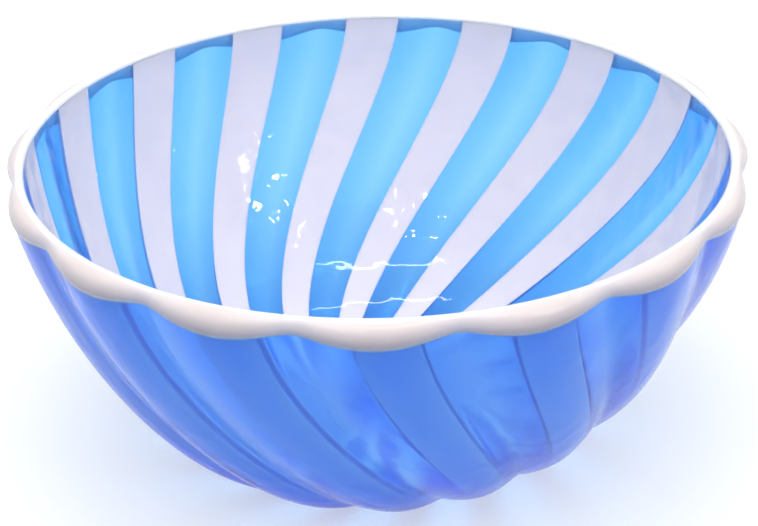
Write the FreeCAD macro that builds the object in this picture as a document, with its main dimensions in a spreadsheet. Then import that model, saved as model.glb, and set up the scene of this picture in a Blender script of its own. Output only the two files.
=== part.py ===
import FreeCAD, Part
import math
import os

# A blown glass bowl: a ribbed wall of clear blue glass, sixteen white canes laid flush in its
# inside face, and a trail of white glass wrapped round its lip. The canes and the ribs swirl
# together from the lip to the foot. Z is up, and the origin is the middle of the flat foot.

doc = FreeCAD.newDocument("art_glass_bowl")

# ---------------------------------------------------------------- driving dimensions
sheet = doc.addObject("Spreadsheet::Sheet", "Sizes")
SIZES = [
    ("rib_count", 16, "ribs round the wall, one over each cane"),
    ("rim_height", 95.6, "foot to the inside edge of the rim"),
    ("rim_radius", 103.9, "inside radius at the rim"),
    ("floor_radius", 45.0, "flat inside floor"),
    ("floor_thickness", 6.3, "glass under the inside floor"),
    ("inside_drop", 1.54, "exponent: how long the inside wall stays upright"),
    ("inside_round", 1.75, "exponent: how round the inside corner is"),
    ("crest_radius", 110.0, "rib crests at the rim"),
    ("foot_radius", 43.6, "where the outside would lie flat"),
    ("foot_grinding", 0.35, "ground off to make the foot flat"),
    ("outside_drop", 1.35, "exponent: how long the outside wall stays upright"),
    ("outside_round", 1.93, "exponent: how round the outside is"),
    ("rim_groove", 3.3, "groove between two ribs, at the rim"),
    ("foot_groove", 2.1, "groove between two ribs, at the foot"),
    ("groove_limit", 0.12, "deepest groove in a level section, as a share of its radius"),
    ("rib_start", -0.75, "angle of the first rib crest at the rim"),
    ("swirl", 31.5, "turn after one rim radius of wall, in degrees"),
    ("swirl_power", 1.47, "the swirl tightens towards the foot"),
    ("cane_start", 0.3, "angle of the first cane at the rim"),
    ("cane_angle", 10.0, "angle that a cane takes up"),
    ("cane_thickness", 2.4, "cane, measured into the wall"),
    ("cane_end", 8.0, "radius where the canes stop, short of the middle"),
    ("collar", 2.0, "thin top of the wall that stands inside the lip"),
    ("lip_over", 0.7, "lip glass over the top of the wall, to the rim edge"),
    ("lip_rise", 1.0, "crown of the lip above the rim edge"),
    ("lip_crest_drop", 7.4, "bottom of the lip's section below the rim edge, on a rib"),
    ("lip_groove_drop", 5.6, "the same between ribs"),
    ("lip_crest_width", 6.1, "lip, in to out, on a rib"),
    ("lip_groove_width", 2.8, "lip, in to out, between ribs"),
    ("lip_inner_round", 1.2, "rounding of the lip's inside top edge"),
]
for row, (alias, value, note) in enumerate(SIZES, start=1):
    sheet.set(f"A{row}", alias)
    sheet.set(f"B{row}", str(value))
    sheet.set(f"C{row}", note)
    sheet.setAlias(f"B{row}", alias)
doc.recompute()
size = {alias: float(sheet.get(alias)) for alias, _, _ in SIZES}

RIBS = int(size["rib_count"])
RIM_Z = size["rim_height"]
RIM_R = size["rim_radius"]
CLEAR = 20.0  # how far a cutting tool runs past the glass
NEARBY = 0.002  # how far along the wall, in stations, a slope is measured to each side
STATIONS = 14  # sections along the wall
FLOOR_STATIONS = 5  # sections across the inside floor


# ---------------------------------------------------------------- wall outlines
# Both faces of the wall follow one curve, r = base + (rim - base) * (1 - t^drop)^(1/round), where t
# runs from 0 at the rim to 1 at the bottom. A station u, also 0 to 1, spaces the points evenly.
def drop_at(u):
    return math.sin(math.pi / 2 * u)


def curve_radius(t, rim, base, drop, roundness):
    return base + (rim - base) * max(0.0, 1 - t**drop) ** (1 / roundness)


def inside_point(u):
    """Radius and height of the inside face at a station."""
    t = drop_at(u)
    radius = curve_radius(t, RIM_R, size["floor_radius"], size["inside_drop"], size["inside_round"])
    return radius, RIM_Z - t * (RIM_Z - size["floor_thickness"])


def outside_point(u):
    """Radius and height of the rib crests at a station."""
    t = drop_at(u)
    radius = curve_radius(
        t, size["crest_radius"], size["foot_radius"], size["outside_drop"], size["outside_round"]
    )
    return radius, RIM_Z - t * (RIM_Z + size["foot_grinding"])


def inside_length(u, steps=200):
    """Length of the inside face from the rim down to a station."""
    points = [inside_point(u * step / steps) for step in range(steps + 1)]
    return sum(math.dist(a, b) for a, b in zip(points, points[1:]))


def swirl_turn(length):
    """How far the canes and ribs have turned after a length of inside wall, in degrees."""
    return size["swirl"] * (max(0.0, length) / RIM_R) ** size["swirl_power"]


def polar(radius, degrees, height):
    angle = math.radians(degrees)
    return FreeCAD.Vector(radius * math.cos(angle), radius * math.sin(angle), height)


def lobed_wire(crest, groove, turn, height):
    """A level ring of arcs, one per rib, that meet in the grooves. turn places a crest."""
    pitch = 360 / RIBS
    edges = []
    for rib in range(RIBS):
        middle = turn + rib * pitch
        start = polar(groove, middle - pitch / 2, height)
        end = polar(groove, middle + pitch / 2, height)
        edges.append(Part.Arc(start, polar(crest, middle, height), end).toShape())
    return Part.Wire(edges)


# ---------------------------------------------------------------- building blocks
def held_shape(name, shape):
    feature = doc.addObject("Part::Feature", name)
    feature.Shape = shape
    return feature


def loft(name, wires):
    body = doc.addObject("Part::Loft", name)
    body.Sections = [held_shape(f"{name}_section_{n:02d}", wire) for n, wire in enumerate(wires, 1)]
    body.Solid = True
    return body


def turned(name, profile):
    body = doc.addObject("Part::Revolution", name)
    body.Source = held_shape(f"{name}_profile", profile)
    body.Axis = FreeCAD.Vector(0, 0, 1)
    body.Angle = 360
    return body


def cylinder(name, radius, height, bottom):
    body = doc.addObject("Part::Cylinder", name)
    body.setExpression("Radius", radius)
    body.setExpression("Height", height)
    body.setExpression(".Placement.Base.z", bottom)
    return body


def cut(name, base, tool):
    body = doc.addObject("Part::Cut", name)
    body.Base = base
    body.Tool = tool
    return body


# ---------------------------------------------------------------- the hollow of the bowl
def hollow_profile():
    points = [FreeCAD.Vector(*inside_point(n / STATIONS)) for n in range(STATIONS + 1)]
    points = [FreeCAD.Vector(p.x, 0, p.y) for p in points]
    wall = Part.BSplineCurve()
    wall.interpolate(
        Points=points, InitialTangent=FreeCAD.Vector(0, 0, -1), FinalTangent=FreeCAD.Vector(-1, 0, 0)
    )
    floor_middle = FreeCAD.Vector(0, 0, size["floor_thickness"])
    top_middle = FreeCAD.Vector(0, 0, RIM_Z + CLEAR)
    top_edge = FreeCAD.Vector(RIM_R, 0, RIM_Z + CLEAR)
    corners = [points[-1], floor_middle, top_middle, top_edge, points[0]]
    straight = [Part.LineSegment(a, b).toShape() for a, b in zip(corners, corners[1:])]
    return Part.Face(Part.Wire([wall.toShape()] + straight))


hollow = turned("hollow", hollow_profile())


# ---------------------------------------------------------------- lip wrap
# A hot trail laid round the rim: an oval bead, narrower and shallower in the grooves, so that it
# follows the ribs. It sits over the wall's thin collar.
def oval_reach(height, width, drop):
    """How far an oval section reaches out from the rim edge at a height above that edge."""
    middle = (size["lip_rise"] - drop) / 2
    half_height = (size["lip_rise"] + drop) / 2
    share = max(-1.0, min(1.0, (height - middle) / half_height))
    return width / 2 * (1 + math.sqrt(1 - share**2))


def bead_wires():
    middle = (size["lip_rise"] - size["lip_crest_drop"]) / 2
    half_height = (size["lip_rise"] + size["lip_crest_drop"]) / 2
    wires = []
    for latitude in range(-80, 81, 20):
        height = middle + half_height * math.sin(math.radians(latitude))
        crest = RIM_R + oval_reach(height, size["lip_crest_width"], size["lip_crest_drop"])
        groove = RIM_R + oval_reach(height, size["lip_groove_width"], size["lip_groove_drop"])
        wires.append(lobed_wire(crest, groove, size["rib_start"], RIM_Z + height))
    return wires


bead = loft("bead", bead_wires())
collar = cylinder(
    "collar_space",
    "Sizes.rim_radius + Sizes.collar",
    "Sizes.rim_height - Sizes.lip_over",
    "0",
)


def mouth_profile():
    """What rounds the lip's inside top edge: the space above and inside a quarter circle."""
    rounding = size["lip_inner_round"]
    top = RIM_Z + size["lip_rise"]
    slant = rounding * (1 - math.sqrt(0.5))
    arc = Part.Arc(
        FreeCAD.Vector(RIM_R, 0, top - rounding),
        FreeCAD.Vector(RIM_R + slant, 0, top - slant),
        FreeCAD.Vector(RIM_R + rounding, 0, top),
    )
    corners = [
        FreeCAD.Vector(RIM_R + rounding, 0, top),
        FreeCAD.Vector(RIM_R + rounding, 0, top + 1),
        FreeCAD.Vector(RIM_R - rounding, 0, top + 1),
        FreeCAD.Vector(RIM_R - rounding, 0, top - rounding),
        FreeCAD.Vector(RIM_R, 0, top - rounding),
    ]
    straight = [Part.LineSegment(a, b).toShape() for a, b in zip(corners, corners[1:])]
    return Part.Face(Part.Wire([arc.toShape()] + straight))


bead_ring = cut("bead_ring", bead, hollow)
rounded_ring = cut("rounded_ring", bead_ring, turned("mouth", mouth_profile()))
lip = cut("lip", rounded_ring, collar)
lip.Label = "lip_wrap"


# ---------------------------------------------------------------- room for the lip
# The wall is taken off above the collar, and outside it from the bead's middle upwards.
overhead = cylinder(
    "overhead",
    f"Sizes.crest_radius + {CLEAR}",
    f"{CLEAR}",
    "Sizes.rim_height + (Sizes.lip_rise - Sizes.lip_crest_drop) / 2",
)
lip_room = cut("lip_room", overhead, collar)


# ---------------------------------------------------------------- white canes
# A cane is a flat strip that follows the inside face down the wall and across the floor. Its
# sides stay at one angle from its centre line, so it narrows towards the middle.
def cane_stations():
    """Radius, height, tilt of the way into the glass (0 out, -90 down) and swirl, down the cane."""
    above = 3.0  # how far the strip runs past the rim before it is topped
    stations = [(RIM_R, RIM_Z + above, 0.0, 0.0)]
    for n in range(STATIONS + 1):
        u = n / STATIONS
        radius, height = inside_point(u)
        (r0, z0) = inside_point(max(0.0, u - NEARBY))
        (r1, z1) = inside_point(min(1.0, u + NEARBY))
        tilt = math.degrees(math.atan2(r1 - r0, z0 - z1))
        if n == 0:
            tilt = 0.0
        if n == STATIONS:
            tilt = -90.0
        stations.append((radius, height, tilt, swirl_turn(inside_length(u))))
    wall = inside_length(1.0)
    for n in range(1, FLOOR_STATIONS + 1):
        radius = size["floor_radius"] + (size["cane_end"] - size["floor_radius"]) * n / FLOOR_STATIONS
        turn = swirl_turn(wall + size["floor_radius"] - radius)
        stations.append((radius, size["floor_thickness"], -90.0, turn))
    return stations


def cane_wires():
    inwards = 2.0  # how far the strip stands into the hollow before it is cut flush
    wires = []
    for radius, height, tilt, turn in cane_stations():
        half = radius * math.tan(math.radians(size["cane_angle"] / 2))
        across, down = math.cos(math.radians(tilt)), math.sin(math.radians(tilt))
        corners = []
        for depth, sides in ((-inwards, (-1, 1)), (size["cane_thickness"], (1, -1))):
            for side in sides:
                point = FreeCAD.Vector(radius + depth * across, side * half, height + depth * down)
                corners.append(point)
        wire = Part.makePolygon(corners + corners[:1])
        wire.rotate(FreeCAD.Vector(), FreeCAD.Vector(0, 0, 1), size["cane_start"] + turn)
        wires.append(wire)
    return wires


def turned_copy(name, source, number):
    """The same shape, turned round the bowl by a number of rib pitches."""
    body = doc.addObject("Part::Compound", name)
    body.Links = [source]
    body.Placement.Rotation = FreeCAD.Rotation(FreeCAD.Vector(0, 0, 1), 0)
    body.setExpression(".Placement.Rotation.Angle", f"{number} * 360 deg / Sizes.rib_count")
    return body


strip = loft("strip", cane_wires())
flush_strip = cut("flush_strip", strip, hollow)
topped_strip = cut("topped_strip", flush_strip, lip_room)
first_cane = cut("first_cane", topped_strip, lip)

canes = [turned_copy(f"cane_{n + 1:02d}", first_cane, n) for n in range(RIBS)]
for number, cane in enumerate(canes, start=1):
    cane.Label = f"white_cane_{number:02d}"


# ---------------------------------------------------------------- blue casing
def casing_wires():
    span = RIM_Z + size["foot_grinding"]
    foot_station = math.asin(RIM_Z / span) / (math.pi / 2)
    wires = []
    for n in range(STATIONS + 1):
        u = foot_station * n / STATIONS
        crest, height = outside_point(u)
        (r0, z0) = outside_point(max(0.0, u - NEARBY))
        (r1, z1) = outside_point(min(1.0, u + NEARBY))
        lean = math.atan2(r0 - r1, z0 - z1)
        share = math.sqrt(max(0.0, height / RIM_Z))
        groove = size["foot_groove"] + (size["rim_groove"] - size["foot_groove"]) * share
        level_groove = min(groove / math.cos(lean), size["groove_limit"] * crest)
        turn = size["rib_start"] + swirl_turn(inside_length(u))
        wires.append(lobed_wire(crest, crest - level_groove, turn, height))
    return wires


outside = loft("outside", casing_wires())
hollow_and_canes = doc.addObject("Part::MultiFuse", "hollow_and_canes")
hollow_and_canes.Shapes = [hollow] + [turned_copy(f"strip_{n + 1:02d}", strip, n) for n in range(RIBS)]
wall = cut("wall", outside, hollow_and_canes)
wall_below_lip = cut("wall_below_lip", wall, lip_room)
casing = cut("casing", wall_below_lip, lip)
casing.Label = "blue_casing"
doc.recompute()

# ---------------------------------------------------------------- check and write
for item in doc.Objects:
    if {"Invalid", "Error"} & set(item.State):
        raise RuntimeError(f"{item.Label}: {item.State}")

os.makedirs("parts", exist_ok=True)
for node in [casing, lip] + canes:
    shape = node.Shape
    if shape.isNull() or not shape.isValid() or len(shape.Solids) != 1:
        raise RuntimeError(f"{node.Label}: bad shape, {len(shape.Solids)} solids")
    box = shape.BoundBox
    print(
        f"{node.Label}: {box.XLength:.1f} x {box.YLength:.1f} x {box.ZLength:.1f} mm,"
        f" z {box.ZMin:.2f} to {box.ZMax:.2f}, {shape.Volume / 1000:.1f} ml"
    )
    shape.exportStep(f"parts/{node.Label}.step")
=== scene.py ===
import math

import bmesh
import bpy
from mathutils import Matrix, Vector


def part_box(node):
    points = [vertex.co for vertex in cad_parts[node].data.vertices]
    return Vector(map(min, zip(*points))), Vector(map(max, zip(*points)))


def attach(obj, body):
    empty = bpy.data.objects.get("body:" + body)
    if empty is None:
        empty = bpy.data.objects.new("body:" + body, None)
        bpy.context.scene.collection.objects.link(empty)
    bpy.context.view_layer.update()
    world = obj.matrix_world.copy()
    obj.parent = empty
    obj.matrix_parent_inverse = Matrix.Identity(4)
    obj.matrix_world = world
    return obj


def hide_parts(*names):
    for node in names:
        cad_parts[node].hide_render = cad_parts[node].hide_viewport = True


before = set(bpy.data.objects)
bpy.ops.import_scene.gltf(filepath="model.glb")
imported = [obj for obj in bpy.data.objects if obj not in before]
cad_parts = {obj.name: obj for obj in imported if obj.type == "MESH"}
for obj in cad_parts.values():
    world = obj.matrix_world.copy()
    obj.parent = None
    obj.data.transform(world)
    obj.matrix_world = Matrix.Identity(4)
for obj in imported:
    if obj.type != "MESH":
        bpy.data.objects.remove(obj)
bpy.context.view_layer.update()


# ---------------------------------------------------------------- blue casing
# The wall of the bowl: clear cobalt-tinted soda glass, blown into a ribbed mould, twisted while
# hot and opened out. Sixteen shallow channels in its inside face hold the white canes, and the
# foot is ground flat.
MM = 0.001
RIBS = 16
PITCH = 360 / RIBS
LIP_RISE = 0.95 * MM
RIM_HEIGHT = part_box("lip_wrap")[1].z - LIP_RISE  # the inside edge of the rim
RIM_RADIUS = 103.9 * MM
FLOOR_RADIUS = 45.0 * MM
FLOOR_HEIGHT = 6.3 * MM
INSIDE_DROP, INSIDE_ROUND = 1.54, 1.75  # exponents: how long the wall stays upright, how round it is
CREST_RADIUS = 110.0 * MM
FOOT_CURVE_RADIUS = 43.6 * MM
FOOT_GRINDING = 0.35 * MM
OUTSIDE_DROP, OUTSIDE_ROUND = 1.35, 1.93
RIM_GROOVE = 3.3 * MM
FOOT_GROOVE = 2.1 * MM
GROOVE_SOFTNESS = 0.10  # how much the fire has rounded the groove, 0 for a knife cut
RIB_START = math.radians(-0.75)
CANE_START = math.radians(0.3)
SWIRL = math.radians(31.5)  # turn after one rim radius of wall
SWIRL_POWER = 1.47
CANE_ANGLE = math.radians(10.0)
CANE_THICKNESS = 2.4 * MM
CANE_TAPER = 0.9  # width of a cane's back against its face
CANE_END = 8.0 * MM
COLLAR = 2.0 * MM  # the thin top of the wall, inside the lip
WALL_TOP = RIM_HEIGHT - 0.7 * MM
COLLAR_FOOT = RIM_HEIGHT - 7.0 * MM  # above this the canes stay inside the collar
LIP_SEAT = RIM_HEIGHT - 3.0 * MM  # the step at the collar's foot, hidden by the lip
FUSED = 0.05 * MM  # one glass stands this far into the next, as fused glasses have no gap
COLUMNS = 20  # round one rib
ROWS = 56  # down the wall
FLOOR_ROWS = 13  # across the inside floor
CURVE_STEPS = 400  # for measuring along the inside face
NEARBY = 0.001  # how far along the wall, in stations, a slope is measured to each side


def wall_curve(u, rim, base, bottom, drop, roundness):
    """Radius and height at a station of the wall, from 0 at the rim to 1 at the bottom."""
    t = math.sin(math.pi / 2 * u)
    radius = base + (rim - base) * max(0.0, 1 - t**drop) ** (1 / roundness)
    return Vector((radius, RIM_HEIGHT - t * (RIM_HEIGHT - bottom)))


def inside(u):
    return wall_curve(u, RIM_RADIUS, FLOOR_RADIUS, FLOOR_HEIGHT, INSIDE_DROP, INSIDE_ROUND)


def outside(u):
    return wall_curve(
        u, CREST_RADIUS, FOOT_CURVE_RADIUS, -FOOT_GRINDING, OUTSIDE_DROP, OUTSIDE_ROUND
    )


def into_glass(curve, u, sense):
    """Unit normal of a wall curve, in radius and height."""
    run = curve(min(1, u + NEARBY)) - curve(max(0, u - NEARBY))
    return Vector((-run.y, run.x)).normalized() * sense


def swirl(length):
    return SWIRL * (max(0.0, length) / RIM_RADIUS) ** SWIRL_POWER


INSIDE_LENGTHS = [0.0]
for step in range(1, CURVE_STEPS + 1):
    run = inside(step / CURVE_STEPS) - inside((step - 1) / CURVE_STEPS)
    INSIDE_LENGTHS.append(INSIDE_LENGTHS[-1] + run.length)


def inside_length(u):
    """Length of the inside face from the rim down to a station."""
    place = u * CURVE_STEPS
    low = min(int(place), CURVE_STEPS - 1)
    return INSIDE_LENGTHS[low] + (INSIDE_LENGTHS[low + 1] - INSIDE_LENGTHS[low]) * (place - low)


def floor_swirl(radius):
    return swirl(INSIDE_LENGTHS[-1] + FLOOR_RADIUS - radius)


def station_at(curve, height):
    """The station where a wall curve comes down to a height."""
    low, high = 0.0, 1.0
    for _ in range(40):
        middle = (low + high) / 2
        low, high = (middle, high) if curve(middle).y > height else (low, middle)
    return low


def groove_shape(angle):
    """0 on a rib's crest, 1 in the groove: arcs that meet in a softened valley."""
    wave = math.cos(angle * RIBS / 2)
    return 1 - math.sqrt((wave * wave + GROOVE_SOFTNESS**2) / (1 + GROOVE_SOFTNESS**2))


class Ring:
    """One level of the casing: where it is, which way the glass lies, and what is worked into it."""

    def __init__(self, place, normal=(0, 0), turn=0.0, groove=0.0, channel=0.0, inner=False):
        self.place = Vector(place)
        self.normal = Vector(normal)
        self.turn = turn
        self.groove = groove
        self.channel = channel
        self.inner = inner


def casing_rings():
    rings = []
    top = station_at(inside, WALL_TOP)
    depth = CANE_THICKNESS - FUSED
    for radius in (0.0, CANE_END / 2, CANE_END):
        rings.append(Ring((radius, FLOOR_HEIGHT), turn=floor_swirl(radius), inner=True))
    for step in range(FLOOR_ROWS):
        radius = CANE_END + (FLOOR_RADIUS - CANE_END) * step / FLOOR_ROWS
        rings.append(Ring((radius, FLOOR_HEIGHT), (0, -1), floor_swirl(radius), 0, depth, True))
    for step in range(ROWS + 1):
        u = 1 + (top - 1) * step / ROWS
        turn = swirl(inside_length(u))
        rings.append(Ring(inside(u), into_glass(inside, u, 1), turn, 0, depth, True))
    rings.append(Ring((RIM_RADIUS + COLLAR, WALL_TOP)))
    rings.append(Ring((RIM_RADIUS + COLLAR, LIP_SEAT)))
    under_lip = station_at(outside, LIP_SEAT)
    foot = station_at(outside, 0.0)
    for step in range(ROWS + 1):
        u = under_lip + (foot - under_lip) * step / ROWS
        place = outside(u)
        groove = FOOT_GROOVE + (RIM_GROOVE - FOOT_GROOVE) * math.sqrt(max(0, place.y / RIM_HEIGHT))
        turn = swirl(inside_length(u))
        rings.append(Ring(place, into_glass(outside, u, -1), turn, groove))
    last = rings[-1]
    for radius in (40.0 * MM, 20.0 * MM, 0.0):
        rings.append(Ring((radius, 0.0), turn=last.turn))
    return rings


def channel_angle(column):
    """Angle of a column of the inside face, and whether it is in the cane's channel."""
    edge = COLUMNS // 5  # the last column in the channel
    side = -1 if column < 0 else 1
    column = abs(column)
    half = CANE_ANGLE / 2
    if column <= edge:
        return side * half * CANE_TAPER * column / edge, True
    free = (column - edge - 1) / (COLUMNS / 2 - edge - 1)
    return side * (half + (math.radians(PITCH) / 2 - half) * free), False


def make_casing():
    rings = casing_rings()
    mesh = bmesh.new()
    level = mesh.verts.layers.int.new("level")
    chain = []
    for number, ring in enumerate(rings):
        vert = mesh.verts.new((ring.place.x, 0, ring.place.y))
        vert[level] = number
        chain.append(vert)
    edges = [mesh.edges.new(pair) for pair in zip(chain, chain[1:])]
    bmesh.ops.spin(
        mesh, geom=chain + edges, cent=(0, 0, 0), axis=(0, 0, 1), angle=math.tau,
        steps=RIBS * COLUMNS, use_merge=True,
    )
    pitch = math.radians(PITCH)
    for vert in mesh.verts:
        ring = rings[vert[level]]
        angle = math.atan2(vert.co.y, vert.co.x)
        rib = round(angle / pitch)
        offset = angle - rib * pitch
        place = ring.place
        if ring.inner:
            column = round(offset / pitch * COLUMNS)
            offset, in_channel = channel_angle(column)
            angle = rib * pitch + offset + CANE_START
            if in_channel:
                place = place + ring.normal * ring.channel
                if place.y > COLLAR_FOOT:
                    place.x = min(place.x, RIM_RADIUS + COLLAR - 2 * FUSED)
        else:
            place = place + ring.normal * ring.groove * groove_shape(offset)
            angle += RIB_START
        angle += ring.turn
        vert.co = (place.x * math.cos(angle), place.x * math.sin(angle), place.y)
    return mesh


NO_LENGTH = 0.002 * MM


def finish_mesh(mesh, name, sharp_degrees):
    """Closes the poles and seams, turns the faces out, marks sharp edges and makes the object."""
    bmesh.ops.remove_doubles(mesh, verts=mesh.verts, dist=NO_LENGTH)
    bmesh.ops.dissolve_degenerate(mesh, edges=mesh.edges, dist=NO_LENGTH)
    bmesh.ops.recalc_face_normals(mesh, faces=mesh.faces)
    for face in mesh.faces:
        face.smooth = True
    for edge in mesh.edges:
        edge.smooth = edge.calc_face_angle(0.0) < math.radians(sharp_degrees)
    data = bpy.data.meshes.new(name)
    mesh.to_mesh(data)
    mesh.free()
    piece = bpy.data.objects.new(name, data)
    bpy.context.scene.collection.objects.link(piece)
    return piece


def srgb(code):
    """Linear colour of an sRGB hex code."""
    values = [int(code[place : place + 2], 16) / 255 for place in (0, 2, 4)]
    return [v / 12.92 if v <= 0.04045 else ((v + 0.055) / 1.055) ** 2.4 for v in values] + [1.0]


def new_material(name):
    material = bpy.data.materials.new(name)
    material.use_nodes = True
    material.node_tree.nodes.clear()
    return material


def add_node(material, kind, inputs=None, **settings):
    """Adds a node. Its inputs are values, or sockets of other nodes to link from."""
    node = material.node_tree.nodes.new(kind)
    for key, value in settings.items():
        setattr(node, key, value)
    for key, value in (inputs or {}).items():
        if isinstance(value, bpy.types.NodeSocket):
            material.node_tree.links.new(value, node.inputs[key])
        else:
            node.inputs[key].default_value = value
    return node


def hot_worked_waves(material, place):
    """Normal of a hand-worked face: low waves, a finger's width apart, left as the glass set."""
    waves = add_node(
        material, "ShaderNodeTexNoise", {"Vector": place, "Scale": 1 / (10 * MM), "Detail": 1.3}
    )
    bump = add_node(
        material, "ShaderNodeBump",
        {"Height": waves.outputs["Fac"], "Strength": 0.6, "Distance": 0.8 * MM},
    )
    return bump.outputs["Normal"]


def blue_soda_glass():
    """Fire-polished blue glass: clear, wet-looking, a little wavy, deeper where it is thicker."""
    material = new_material("blue_soda_glass")
    place = add_node(material, "ShaderNodeTexCoord").outputs["Object"]
    waves = hot_worked_waves(material, place)
    glass = add_node(
        material, "ShaderNodeBsdfPrincipled",
        {"Base Color": srgb("A2DCFF"), "Roughness": 0.28, "IOR": 1.12, "Transmission Weight": 1.0,
         "Coat Weight": 0.6, "Coat Roughness": 0.03, "Coat IOR": 1.5,
         "Normal": waves, "Coat Normal": waves},
    )
    # red goes first, then green, and blue not at all: 200 per metre takes a fifth in a millimetre
    body = add_node(
        material, "ShaderNodeVolumeAbsorption", {"Color": (0.0, 0.62, 1.0, 1), "Density": 200.0}
    )
    add_node(
        material, "ShaderNodeOutputMaterial",
        {"Surface": glass.outputs["BSDF"], "Volume": body.outputs["Volume"]},
    )
    return material


casing = finish_mesh(make_casing(), "blue_casing_glass", 75)
casing.data.materials.append(blue_soda_glass())
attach(casing, "root")
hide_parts("blue_casing")


# ---------------------------------------------------------------- white canes
# Rods of opaque white glass, fused flat into the inside face. They swirl down the wall and draw
# to a point near the middle of the floor. Their sides slope in a little towards the back.
CANE_COLUMNS, CANE_ROWS = 10, 80
WALL_SHARE = 0.82  # of a cane's rows; the rest cross the floor


def make_cane(number):
    mesh = bmesh.new()
    bmesh.ops.create_grid(mesh, x_segments=CANE_COLUMNS, y_segments=CANE_ROWS, size=1.0)
    station = mesh.verts.layers.int.new("station")
    top = station_at(inside, WALL_TOP + FUSED)
    start = CANE_START + number * math.radians(PITCH)
    stations = []
    for vert in mesh.verts:
        share = (1 - vert.co.y) / 2
        if share < WALL_SHARE:
            u = top + (1 - top) * share / WALL_SHARE
            place, normal, turn = inside(u), into_glass(inside, u, 1), swirl(inside_length(u))
        else:
            crossed = (share - WALL_SHARE) / (1 - WALL_SHARE)
            radius = FLOOR_RADIUS + (CANE_END - FLOOR_RADIUS) * crossed
            place, normal, turn = Vector((radius, FLOOR_HEIGHT)), Vector((0, -1)), floor_swirl(radius)
        aside = vert.co.x * (CANE_ANGLE / 2 + FUSED / max(place.x, CANE_END))
        vert[station] = len(stations)
        stations.append((place, normal, start + turn + aside * CANE_TAPER))
        angle = start + turn + aside
        face = place - normal * FUSED * 0.6
        vert.co = (face.x * math.cos(angle), face.x * math.sin(angle), face.y)
    backs = bmesh.ops.extrude_face_region(mesh, geom=mesh.faces[:])["geom"]
    for vert in backs:
        if isinstance(vert, bmesh.types.BMVert):
            place, normal, angle = stations[vert[station]]
            back = place + normal * CANE_THICKNESS
            if back.y > COLLAR_FOOT:
                back.x = min(back.x, RIM_RADIUS + COLLAR)
            vert.co = (back.x * math.cos(angle), back.x * math.sin(angle), back.y)
    return mesh


def white_cane_glass():
    """Opaque white glass: a milky, faintly lavender white with a wet gloss."""
    material = new_material("white_cane_glass")
    coordinates = add_node(material, "ShaderNodeTexCoord")
    place = coordinates.outputs["Object"]
    drift = add_node(
        material, "ShaderNodeTexNoise", {"Vector": place, "Scale": 1 / (16 * MM), "Detail": 3.0}
    )
    tint = add_node(
        material, "ShaderNodeMix",
        {"Factor": drift.outputs["Fac"], "A": srgb("DEDAE4"), "B": srgb("E6E2EA")}, data_type="RGBA",
    )
    # the back, under the casing, faces away from the bowl's mouth and is painted darker and bluer:
    # painted shade on the side the light from the mouth doesn't reach
    from_mouth = add_node(
        material, "ShaderNodeVectorMath", {0: place, 1: (0, 0, RIM_HEIGHT)}, operation="SUBTRACT"
    )
    facing = add_node(
        material, "ShaderNodeVectorMath",
        {0: from_mouth.outputs["Vector"], 1: coordinates.outputs["Normal"]}, operation="DOT_PRODUCT",
    )
    back = add_node(
        material, "ShaderNodeMapRange",
        {"Value": facing.outputs["Value"], "From Min": -5 * MM, "From Max": 5 * MM},
    )
    painted_shade_back = add_node(
        material, "ShaderNodeMix",
        {"Factor": back.outputs["Result"], "A": tint.outputs["Result"], "B": srgb("CDC5EA")},
        data_type="RGBA",
    )
    milk = add_node(
        material, "ShaderNodeBsdfPrincipled",
        {"Base Color": painted_shade_back.outputs["Result"], "Roughness": 0.05, "IOR": 1.5,
         "Normal": hot_worked_waves(material, place),
         "Subsurface Weight": 1.0, "Subsurface Radius": (1, 1, 1), "Subsurface Scale": 2.0 * MM},
    )
    add_node(material, "ShaderNodeOutputMaterial", {"Surface": milk.outputs["BSDF"]})
    return material


cane_glass = white_cane_glass()
for number in range(RIBS):
    cane = finish_mesh(make_cane(number), f"white_cane_glass_{number + 1:02d}", 40)
    cane.data.materials.append(cane_glass)
    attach(cane, "root")
    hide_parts(f"white_cane_{number + 1:02d}")


# ---------------------------------------------------------------- lip wrap
# A trail of opaque white glass, laid on hot round the rim and melted down over it. It follows the
# ribs, so it is broad on each crest and narrow in each groove.
LIP_COLUMNS = 12  # round one rib
# Sections of the trail on a crest and between two ribs: out from the rim's edge, and up from it,
# in millimetres, round from the inside edge.
CREST_SECTION = [
    (0.0, -0.9), (-0.05, -0.1), (0.35, 0.65), (1.3, 1.05), (2.8, 0.95), (4.4, 0.25), (5.7, -1.1),
    (6.25, -3.1), (6.0, -5.0), (5.1, -6.6), (3.6, -7.5), (1.6, -7.5), (1.6, -4.0), (1.6, -0.9),
]
GROOVE_SECTION = [
    (0.0, -0.9), (-0.05, -0.1), (0.3, 0.55), (0.9, 0.9), (1.6, 0.85), (2.2, 0.4), (2.7, -0.3),
    (3.0, -1.2), (3.0, -2.1), (2.8, -2.9), (2.2, -3.5), (1.6, -3.5), (1.6, -2.2), (1.6, -0.9),
]


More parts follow.
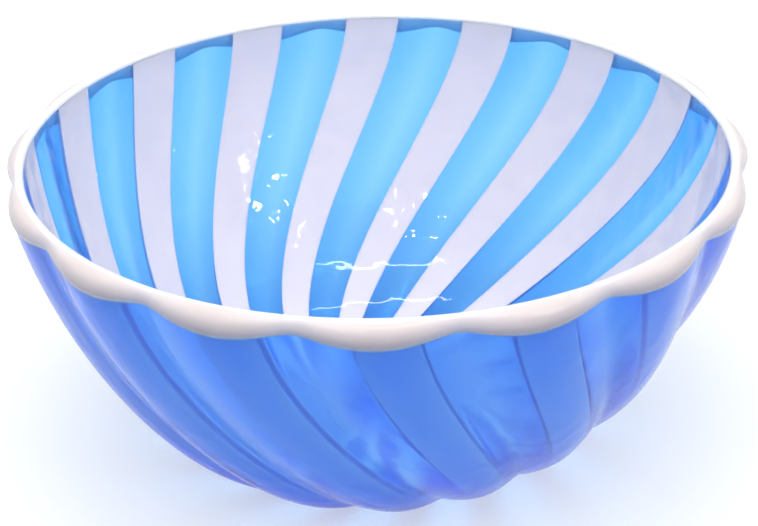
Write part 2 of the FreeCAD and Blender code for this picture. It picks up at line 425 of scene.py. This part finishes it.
def make_lip():
    mesh = bmesh.new()
    corner = mesh.verts.layers.int.new("corner")
    section = []
    for number, (out, up) in enumerate(CREST_SECTION):
        vert = mesh.verts.new((RIM_RADIUS + out * MM, 0, RIM_HEIGHT + up * MM))
        vert[corner] = number
        section.append(vert)
    edges = [mesh.edges.new(pair) for pair in zip(section, section[1:] + section[:1])]
    bmesh.ops.spin(
        mesh, geom=section + edges, cent=(0, 0, 0), axis=(0, 0, 1), angle=math.tau,
        steps=RIBS * LIP_COLUMNS, use_merge=True,
    )
    for vert in mesh.verts:
        angle = math.atan2(vert.co.y, vert.co.x)
        crest, groove = Vector(CREST_SECTION[vert[corner]]), Vector(GROOVE_SECTION[vert[corner]])
        place = crest.lerp(groove, groove_shape(angle)) * MM
        radius = RIM_RADIUS + place.x
        angle += RIB_START
        vert.co = (radius * math.cos(angle), radius * math.sin(angle), RIM_HEIGHT + place.y)
    return mesh


def white_lip_glass():
    """Opaque white trail glass: warm porcelain white, glossy and slightly uneven."""
    material = new_material("white_lip_glass")
    place = add_node(material, "ShaderNodeTexCoord").outputs["Object"]
    drift = add_node(
        material, "ShaderNodeTexNoise", {"Vector": place, "Scale": 1 / (12 * MM), "Detail": 2.0}
    )
    tint = add_node(
        material, "ShaderNodeMix",
        {"Factor": drift.outputs["Fac"], "A": srgb("D4C9C8"), "B": srgb("DED4D2")}, data_type="RGBA",
    )
    # the inner face, pressed against the wall, and the rim's inside edge are painted a purer white:
    # painted light for the light that reaches them through the glass, and a painted highlight along
    # the inside edge
    level_place = add_node(
        material, "ShaderNodeVectorMath", {0: place, 1: (1, 1, 0)}, operation="MULTIPLY"
    )
    reach = add_node(
        material, "ShaderNodeVectorMath", {0: level_place.outputs["Vector"]}, operation="LENGTH"
    )
    painted_light_mask = add_node(
        material, "ShaderNodeMapRange",
        {"Value": reach.outputs["Value"], "From Min": RIM_RADIUS + 2.6 * MM,
         "From Max": RIM_RADIUS + 1.7 * MM},
    )
    painted_light_white = add_node(
        material, "ShaderNodeMix",
        {"Factor": painted_light_mask.outputs["Result"], "A": tint.outputs["Result"], "B": srgb("FCFAFA")},
        data_type="RGBA",
    )
    bump = add_node(
        material, "ShaderNodeBump",
        {"Height": drift.outputs["Fac"], "Strength": 0.3, "Distance": 0.4 * MM},
    )
    milk = add_node(
        material, "ShaderNodeBsdfPrincipled",
        {"Base Color": painted_light_white.outputs["Result"], "Roughness": 0.22, "IOR": 1.5,
         "Subsurface Weight": 1.0, "Subsurface Radius": (1, 1, 1), "Subsurface Scale": 6.0 * MM,
         "Normal": bump.outputs["Normal"]},
    )
    add_node(material, "ShaderNodeOutputMaterial", {"Surface": milk.outputs["BSDF"]})
    return material


lip = finish_mesh(make_lip(), "lip_wrap_glass", 180)
smooth = lip.modifiers.new("melted", "SUBSURF")
smooth.levels = smooth.render_levels = 1
lip.data.materials.append(white_lip_glass())
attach(lip, "root")
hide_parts("lip_wrap")


# ---------------------------------------------------------------- floor
# A plain pale light table that runs far past the bowl. Its own light keeps the shadow soft.
TABLE_REACH = 6.0  # metres each way


def make_floor():
    mesh = bmesh.new()
    bmesh.ops.create_grid(mesh, x_segments=1, y_segments=1, size=TABLE_REACH)
    bmesh.ops.translate(mesh, vec=(0, 0, -FUSED), verts=mesh.verts)
    return mesh


def pale_paper():
    material = new_material("pale_paper")
    paper = add_node(
        material, "ShaderNodeBsdfPrincipled",
        {"Base Color": srgb("C0C0C0"), "Roughness": 0.9, "Emission Color": srgb("FFFFFF"),
         "Emission Strength": 0.46},
    )
    add_node(material, "ShaderNodeOutputMaterial", {"Surface": paper.outputs["BSDF"]})
    return material


floor = finish_mesh(make_floor(), "studio_floor", 180)
floor.data.materials.append(pale_paper())
floor.visible_diffuse = False  # so the table doesn't light the bowl's underside


# ---------------------------------------------------------------- light
# A plain room, paler above than below, a softbox overhead, two strip lights over the bowl
# and a few small spots, which the wet inside of the glass breaks up into lines and specks.
SKY = (0.77, 0.77, 0.77, 1)  # the room above the table
GROUND = (0.05, 0.12, 0.34, 1)  # the blue that the glass itself throws about below
world = bpy.data.worlds.new("studio")
world.use_nodes = True
room = world.node_tree
direction = room.nodes.new("ShaderNodeTexCoord")
split = room.nodes.new("ShaderNodeSeparateXYZ")
rise = room.nodes.new("ShaderNodeMapRange")
rise.inputs["From Min"].default_value = -0.3
rise.inputs["From Max"].default_value = 0.3
shade = room.nodes.new("ShaderNodeMix")
shade.data_type = "RGBA"
shade.inputs["A"].default_value = GROUND
shade.inputs["B"].default_value = SKY
room.links.new(direction.outputs["Generated"], split.inputs[0])
room.links.new(split.outputs["Z"], rise.inputs["Value"])
room.links.new(rise.outputs["Result"], shade.inputs["Factor"])
room.links.new(shade.outputs["Result"], room.nodes["Background"].inputs["Color"])
bpy.context.scene.world = world


def panel_light(name, place, width, height, brightness, glossy=True):
    """A lit panel that faces the bowl. Its power follows from its area and its brightness."""
    lamp = bpy.data.lights.new(name, "AREA")
    lamp.shape = "RECTANGLE"
    lamp.size, lamp.size_y, lamp.energy = width, height, brightness * math.pi * width * height
    holder = bpy.data.objects.new(name, lamp)
    holder.location = place
    aim = Vector((0, 0, RIM_HEIGHT / 2)) - Vector(place)
    holder.rotation_euler = aim.to_track_quat("-Z", "Y").to_euler()
    holder.visible_glossy = glossy
    bpy.context.scene.collection.objects.link(holder)


panel_light("softbox", (-0.1, -0.25, 1.5), 1.2, 1.2, 1.9, glossy=False)
panel_light("front_strip", (0, -0.33, 1.05), 0.84, 0.028, 24)
panel_light("back_strip", (-0.05, 0.23, 1.05), 0.6, 0.028, 24)
SPOT_SIZE, SPOT_BRIGHTNESS = 0.017, 110
RIGHT_SPOTS = [(azimuth, rise + azimuth / 4) for azimuth in (46, 52, 58) for rise in (12, 20, 28, 38)]
LEFT_SPOTS = [(azimuth, rise - azimuth / 4) for azimuth in (-10, -21, -33) for rise in (40, 48)]
for number, (azimuth, rise) in enumerate(RIGHT_SPOTS + LEFT_SPOTS, start=1):
    azimuth, rise = math.radians(azimuth), math.radians(rise)
    level = math.cos(rise)
    place = (math.sin(azimuth) * level, -math.cos(azimuth) * level, math.sin(rise))
    panel_light(f"spot_{number}", place, SPOT_SIZE, SPOT_SIZE, SPOT_BRIGHTNESS)

bpy.context.scene.view_settings.view_transform = "Standard"


# ---------------------------------------------------------------- camera
# A long lens, a little above the rim, looking down across the bowl from its front.
CAMERA_DISTANCE = 534.9 * MM
CAMERA_RISE = math.radians(24.84)
LOOK_DOWN = math.radians(28.70)
TILT = math.radians(-1.16)
lens = bpy.data.cameras.new("camera")
lens.lens = 85.1
lens.sensor_width = 36.0
camera = bpy.data.objects.new("camera", lens)
away = Vector((0, -math.cos(CAMERA_RISE), math.sin(CAMERA_RISE))) * CAMERA_DISTANCE
look = Vector((0, math.cos(LOOK_DOWN), -math.sin(LOOK_DOWN)))
camera.matrix_world = (
    Matrix.Translation(Vector((0, 0, RIM_HEIGHT)) + away)
    @ look.to_track_quat("-Z", "Y").to_matrix().to_4x4()
    @ Matrix.Rotation(TILT, 4, "Z")
)
bpy.context.scene.collection.objects.link(camera)
bpy.context.scene.camera = camera
